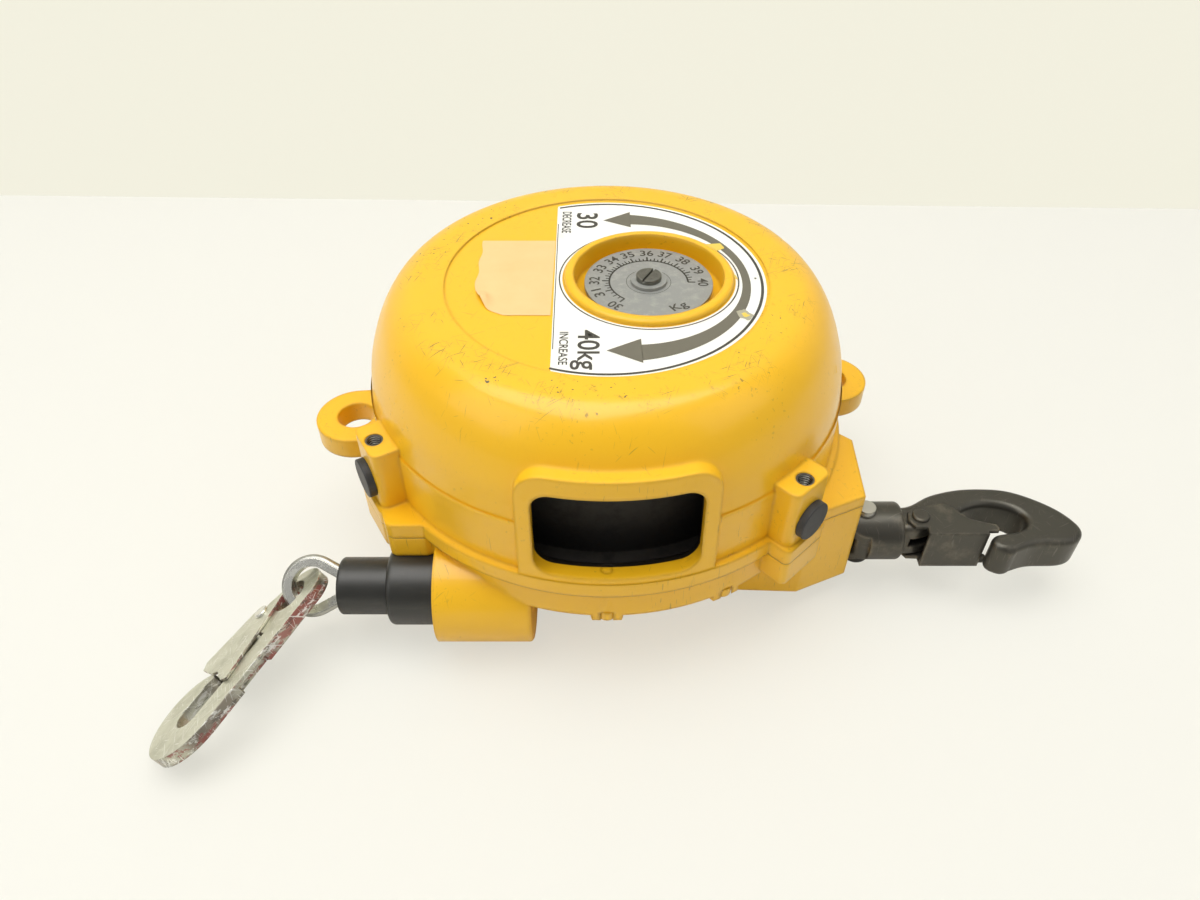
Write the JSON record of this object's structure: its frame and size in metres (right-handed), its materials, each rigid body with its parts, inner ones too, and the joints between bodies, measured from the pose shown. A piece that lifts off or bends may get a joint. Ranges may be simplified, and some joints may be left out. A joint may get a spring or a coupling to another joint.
{
  "type": "spring balancer",
  "caption": "Spring balancer in a two-part cast casing with tension dial, window, swivel suspension hook, and wire rope with rubber stop and snap hook",
  "frame": {"origin": "centre of the flat rear face, on the drum axis", "axes": "+Z along the drum axis from the rear face to the dial face, +X towards the suspension hook, the rope leaves towards -X"},
  "size_m": [0.4398, 0.2923, 0.152],
  "materials": {
    "yellow_paint": "glossy yellow enamel over cast aluminium, scuffed at the edges",
    "dark_steel": "black-oxide steel, worn to bare metal on the rims",
    "zinc_steel": "zinc plated steel, dull",
    "steel": "plain machined steel, oiled",
    "spring_steel": "blued spring steel strip",
    "cast_aluminium": "bare cast aluminium",
    "bronze": "sintered bronze",
    "rubber": "black moulded rubber",
    "dial_grey": "satin grey anodised disc with printed figures",
    "guide_nylon": "natural nylon",
    "rope_steel": "galvanised stranded wire rope"
  },
  "bodies": {
    "casing": {"front_case": "yellow_paint", "rear_case": "yellow_paint", "case_screws": "dark_steel", "block_inserts": "steel", "side_plugs": "dark_steel", "rear_bush": "bronze", "front_bush": "bronze", "dial_bush": "bronze", "rope_guide": "guide_nylon", "worm_bushes": "bronze", "hanger_link": "dark_steel", "cross_pin": "steel"},
    "tension_arbor": {"arbor": "steel", "worm_wheel": "bronze", "arbor_spacer": "steel", "arbor_nut": "dark_steel", "dial_pinion": "steel", "bearing_inner_rings": "steel"},
    "adjuster_worm": {"worm": "steel"},
    "dial_group": {"dial_gear": "steel", "dial": "dial_grey", "dial_collar": "dial_grey", "dial_screw": "zinc_steel"},
    "rope_drum": {"drum": "cast_aluminium", "spring_cover": "cast_aluminium", "cover_screws": "dark_steel", "bearing_outer_rings": "steel", "bearing_balls": "steel", "mainspring": "spring_steel", "rope_turns": "rope_steel"},
    "rope_end": {"rope_lead": "rope_steel", "ferrule": "cast_aluminium", "bumper": "rubber", "rope_eye": "rope_steel", "thimble": "zinc_steel"},
    "load_hook_group": {"load_hook": "zinc_steel", "load_latch_rivet": "zinc_steel", "load_latch_spring": "spring_steel"},
    "load_latch_group": {"load_latch": "zinc_steel"},
    "hanger_group": {"hanger": "dark_steel", "hanger_pin": "zinc_steel"},
    "top_hook_group": {"top_hook": "dark_steel", "swivel_head": "dark_steel", "top_latch_rivet": "dark_steel", "top_latch_spring": "spring_steel"},
    "top_latch_group": {"top_latch": "dark_steel"}
  },
  "joints": [
    {"name": "drum_spin", "type": "hinge", "parent": "casing", "child": "rope_drum", "pos_m": [0, 0, 0.063], "axis": [0, 0, -1], "range_deg": [0, 840], "stiffness_Nm_per_rad": 0.5, "springref_deg": -57.3},
    {"name": "rope_payout", "type": "slide", "parent": "casing", "child": "rope_end", "axis": [-1, 0, 0], "range_m": [0, 1.302], "deforming": ["rope_lead"]},
    {"name": "arbor_adjust", "type": "hinge", "parent": "casing", "child": "tension_arbor", "pos_m": [0, 0, 0.07], "axis": [0, 0, 1], "range_deg": [0, 433]},
    {"name": "worm_turn", "type": "hinge", "parent": "casing", "child": "adjuster_worm", "pos_m": [-0.043, 0, 0.116], "axis": [0, 1, 0], "range_deg": [0, 15590]},
    {"name": "dial_turn", "type": "hinge", "parent": "casing", "child": "dial_group", "pos_m": [0.0196, 0, 0.14], "axis": [0, 0, 1], "range_deg": [-233.5, 0]},
    {"name": "load_hook_swing", "type": "hinge", "parent": "rope_end", "child": "load_hook_group", "pos_m": [-0.15187, -0.0939, 0.0284], "axis": [-0.545, 0.623, 0.561], "range_deg": [0, 36]},
    {"name": "load_latch_open", "type": "hinge", "parent": "load_hook_group", "child": "load_latch_group", "pos_m": [-0.1627, -0.09965, 0.02155], "axis": [-0.576, 0.1522, 0.8032], "range_deg": [0, 28], "stiffness_Nm_per_rad": 0.05, "springref_deg": -20.05, "deforming": ["load_latch_spring"]},
    {"name": "hanger_swing", "type": "hinge", "parent": "casing", "child": "hanger_group", "pos_m": [0.1295, -0.054, 0.034], "axis": [0, 0, 1], "range_deg": [-22, 22]},
    {"name": "top_hook_swivel", "type": "hinge", "parent": "hanger_group", "child": "top_hook_group", "pos_m": [0.145, -0.054, 0.034], "axis": [1, 0, 0], "continuous": true},
    {"name": "top_latch_open", "type": "hinge", "parent": "top_hook_group", "child": "top_latch_group", "pos_m": [0.157, -0.0555, 0.034], "axis": [0, 0, 1], "range_deg": [0, 28], "stiffness_Nm_per_rad": 0.05, "springref_deg": -20.05, "deforming": ["top_latch_spring"]}
  ],
  "couplings": [
    {"joint": "rope_payout", "follows": "drum_spin", "m_per_rad": 0.0888},
    {"joint": "worm_turn", "follows": "arbor_adjust", "ratio": 36},
    {"joint": "dial_turn", "follows": "arbor_adjust", "ratio": -0.53846}
  ]
}
